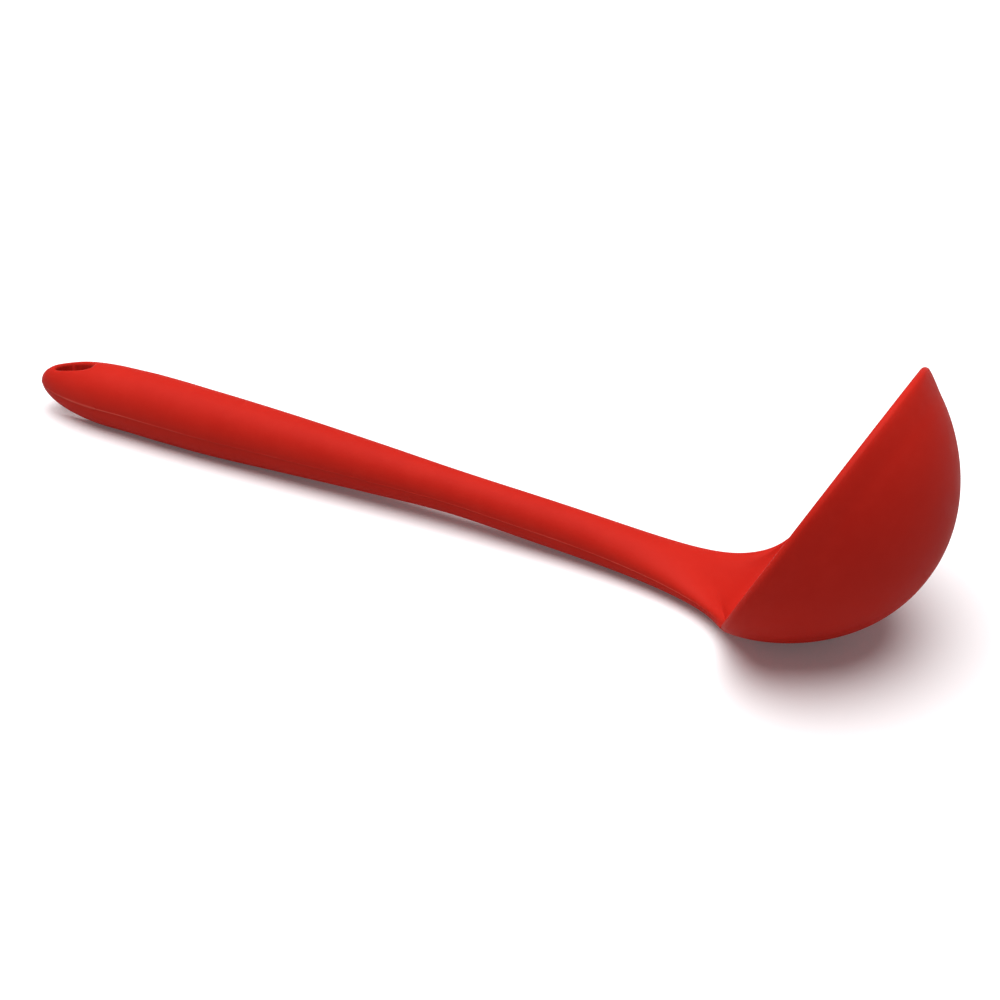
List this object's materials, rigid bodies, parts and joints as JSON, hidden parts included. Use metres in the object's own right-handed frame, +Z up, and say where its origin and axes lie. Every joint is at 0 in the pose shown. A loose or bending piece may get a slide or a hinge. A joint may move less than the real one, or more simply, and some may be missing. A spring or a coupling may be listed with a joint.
{
  "type": "silicone soup ladle",
  "caption": "One-colour silicone soup ladle with a deep round bowl set at a steep angle and a thick round handle ending in a hanging hole.",
  "frame": {"origin": "on the table under the middle of the overall box, with the ladle lying on its back", "axes": "+X from the end of the handle towards the bowl, +Y across to the left, +Z up; the handle's belly and the bottom of the bowl both touch Z = 0"},
  "size_m": [0.2948, 0.0878, 0.0789],
  "materials": {
    "silicone_front": "matt moulded silicone",
    "silicone_back": "matt moulded silicone",
    "nylon": "glass-filled nylon, as moulded",
    "steel": "stamped stainless strip"
  },
  "bodies": {
    "root": {"skin_front": "silicone_front", "skin_back": "silicone_back", "bowl_core": "nylon", "handle_strip": "steel"}
  },
  "joints": []
}
